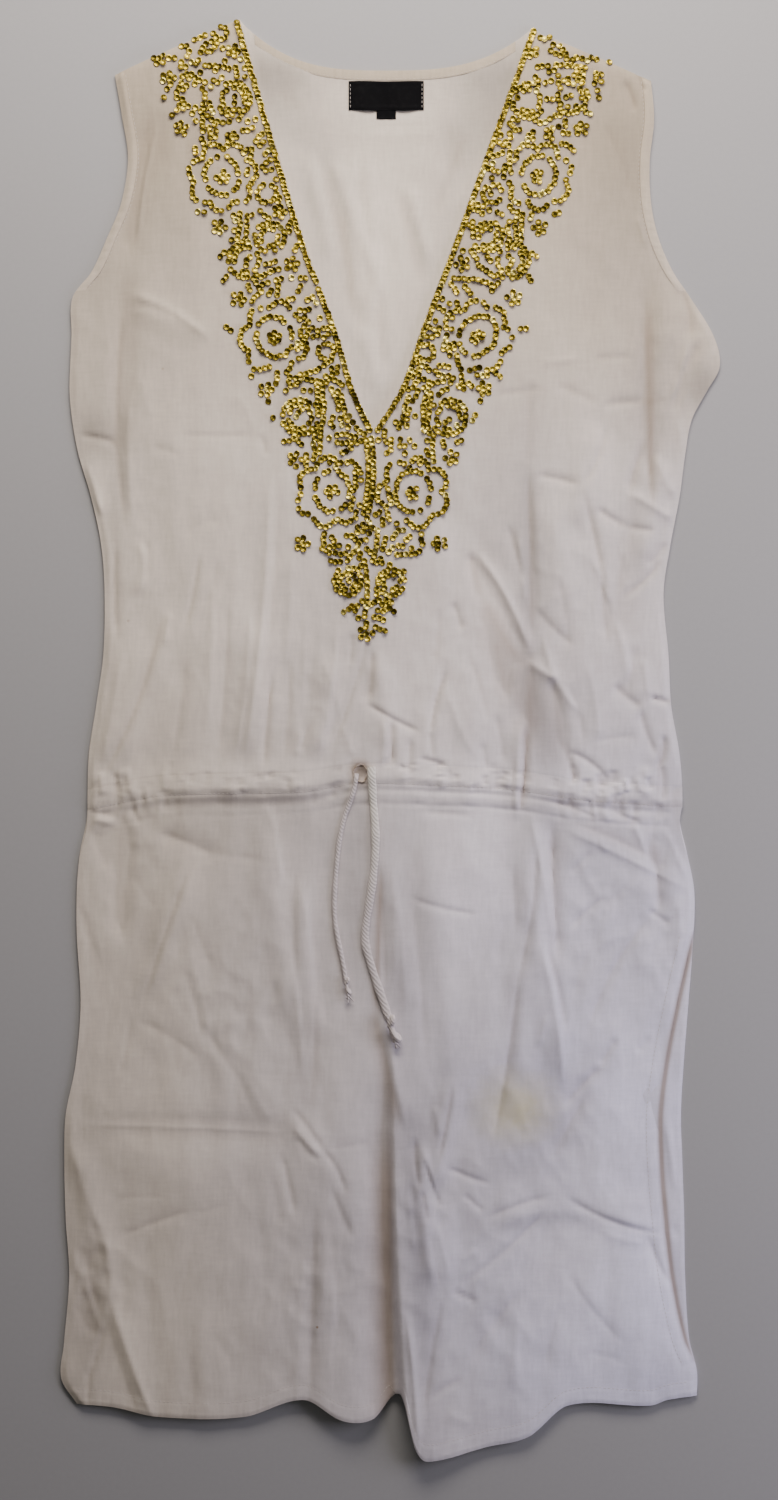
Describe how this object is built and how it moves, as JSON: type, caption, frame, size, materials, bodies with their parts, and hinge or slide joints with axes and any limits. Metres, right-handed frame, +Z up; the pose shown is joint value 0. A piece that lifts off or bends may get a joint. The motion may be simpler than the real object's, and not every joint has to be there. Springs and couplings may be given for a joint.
{
  "type": "tunic dress",
  "caption": "Sleeveless white cotton tunic dress with a deep V neck in gold sequin work and a drawstring waist, laid flat.",
  "frame": {"origin": "on the surface that the dress lies on, under the middle of its box", "axes": "+Y from the hem towards the neck, along the dress' length; +Z up, out of the surface; +X to the right as seen from above"},
  "size_m": [0.473, 1.0359, 0.016],
  "materials": {
    "cotton_front": "fine plain-weave off-white cotton, creased from folding",
    "cotton_back": "inside of the same plain-weave cotton",
    "cotton_trim": "turned and stitched bands of the same cotton",
    "cotton_tie": "soft self-fabric tie, rolled and pressed",
    "label_satin": "black woven satin label, left bare",
    "gold_sequin": "metallised gold cup sequins, sewn down",
    "sewing_thread": "matching cotton thread, lock stitch"
  },
  "bodies": {
    "root": {"back_panel": "cotton_back", "front_panel": "cotton_front", "waist_casing_left": "cotton_trim", "waist_casing_right": "cotton_trim", "armhole_band_left": "cotton_trim", "armhole_band_right": "cotton_trim", "neck_facing": "cotton_trim", "neck_label": "label_satin", "size_tab": "label_satin", "drawstring_left": "cotton_tie", "drawstring_right": "cotton_tie", "drawstring_knot_left": "cotton_tie", "drawstring_knot_right": "cotton_tie"}
  },
  "joints": []
}
